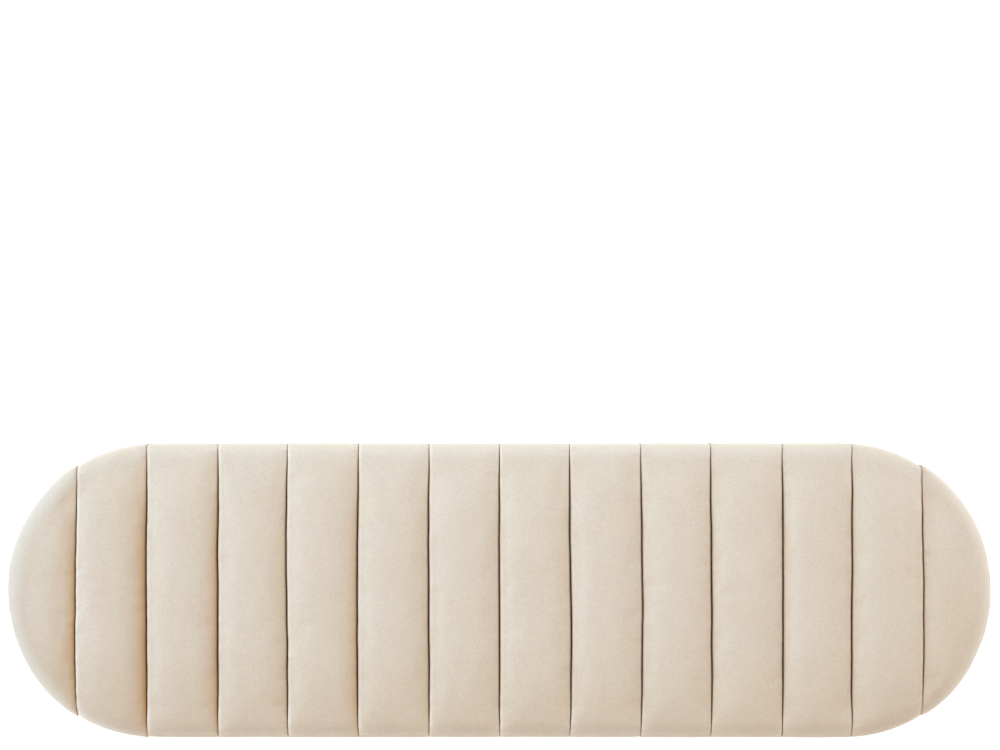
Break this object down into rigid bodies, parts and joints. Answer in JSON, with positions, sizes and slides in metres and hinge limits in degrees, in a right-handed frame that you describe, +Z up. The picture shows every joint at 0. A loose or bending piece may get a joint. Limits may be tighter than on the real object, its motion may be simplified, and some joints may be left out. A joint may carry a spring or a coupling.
{
  "type": "bench",
  "caption": "Long low upholstered bench with a racetrack plan, fabric channels sewn from front to back over foam and a timber frame, and metal legs on screw-adjusted glides.",
  "frame": {"origin": "on the floor, below the middle of the bench", "axes": "+X along the bench to its right end, +Y to its back, +Z up"},
  "size_m": [1.5, 0.45, 0.46],
  "materials": {
    "velvet": "matte",
    "listing_tape": "matte",
    "foam": "matte",
    "plywood": "matte",
    "pine": "matte",
    "hardwood": "satin",
    "cambric": "matte",
    "staple_wire": "satin",
    "wood_screw": "satin",
    "black_bolt": "satin",
    "zinc_hardware": "satin",
    "leg_metal": "satin",
    "black_plastic": "matte",
    "stud_steel": "satin",
    "glide_plastic": "matte"
  },
  "bodies": {
    "bench": {"channel_01": "velvet", "channel_02": "velvet", "channel_03": "velvet", "channel_04": "velvet", "channel_05": "velvet", "channel_06": "velvet", "channel_07": "velvet", "channel_08": "velvet", "channel_09": "velvet", "channel_10": "velvet", "channel_11": "velvet", "channel_12": "velvet", "channel_13": "velvet", "channel_14": "velvet", "seam_listings": "listing_tape", "foam_slab": "foam", "deck_panel": "plywood", "front_rail": "pine", "back_rail": "pine", "end_rail_left": "plywood", "end_rail_right": "plywood", "cross_rail_1": "pine", "cross_rail_2": "pine", "cross_rail_3": "pine", "cross_rail_4": "pine", "leg_board_left": "hardwood", "leg_board_right": "hardwood", "dust_cover": "cambric", "staples": "staple_wire", "deck_screws": "wood_screw", "frame_screws": "wood_screw", "leg_bolts": "black_bolt", "tee_nuts": "zinc_hardware", "leg_plate_front_left": "leg_metal", "leg_plate_front_right": "leg_metal", "leg_plate_back_left": "leg_metal", "leg_plate_back_right": "leg_metal", "leg_front_left": "leg_metal", "leg_front_right": "leg_metal", "leg_back_left": "leg_metal", "leg_back_right": "leg_metal", "leg_plug_front_left": "black_plastic", "leg_plug_front_right": "black_plastic", "leg_plug_back_left": "black_plastic", "leg_plug_back_right": "black_plastic", "glide_nuts": "zinc_hardware"},
    "foot_front_left": {"glide_foot_front_left": "glide_plastic"},
    "stud_front_left": {"glide_stud_front_left": "stud_steel"},
    "foot_front_right": {"glide_foot_front_right": "glide_plastic"},
    "stud_front_right": {"glide_stud_front_right": "stud_steel"},
    "foot_back_left": {"glide_foot_back_left": "glide_plastic"},
    "stud_back_left": {"glide_stud_back_left": "stud_steel"},
    "foot_back_right": {"glide_foot_back_right": "glide_plastic"},
    "stud_back_right": {"glide_stud_back_right": "stud_steel"}
  },
  "joints": [
    {"name": "foot_travel_front_left", "type": "slide", "parent": "bench", "child": "foot_front_left", "axis": [0, 0, -1], "range_m": [0, 0.01]},
    {"name": "stud_turn_front_left", "type": "hinge", "parent": "foot_front_left", "child": "stud_front_left", "pos_m": [-0.59, -0.13, 0], "axis": [0, 0, -1], "range_deg": [0, 2880]},
    {"name": "foot_travel_front_right", "type": "slide", "parent": "bench", "child": "foot_front_right", "axis": [0, 0, -1], "range_m": [0, 0.01]},
    {"name": "stud_turn_front_right", "type": "hinge", "parent": "foot_front_right", "child": "stud_front_right", "pos_m": [0.59, -0.13, 0], "axis": [0, 0, -1], "range_deg": [0, 2880]},
    {"name": "foot_travel_back_left", "type": "slide", "parent": "bench", "child": "foot_back_left", "axis": [0, 0, -1], "range_m": [0, 0.01]},
    {"name": "stud_turn_back_left", "type": "hinge", "parent": "foot_back_left", "child": "stud_back_left", "pos_m": [-0.59, 0.13, 0], "axis": [0, 0, -1], "range_deg": [0, 2880]},
    {"name": "foot_travel_back_right", "type": "slide", "parent": "bench", "child": "foot_back_right", "axis": [0, 0, -1], "range_m": [0, 0.01]},
    {"name": "stud_turn_back_right", "type": "hinge", "parent": "foot_back_right", "child": "stud_back_right", "pos_m": [0.59, 0.13, 0], "axis": [0, 0, -1], "range_deg": [0, 2880]}
  ],
  "couplings": [
    {"joint": "stud_turn_front_left", "follows": "foot_travel_front_left", "rad_per_m": 5026.5},
    {"joint": "stud_turn_front_right", "follows": "foot_travel_front_right", "rad_per_m": 5026.5},
    {"joint": "stud_turn_back_left", "follows": "foot_travel_back_left", "rad_per_m": 5026.5},
    {"joint": "stud_turn_back_right", "follows": "foot_travel_back_right", "rad_per_m": 5026.5}
  ]
}
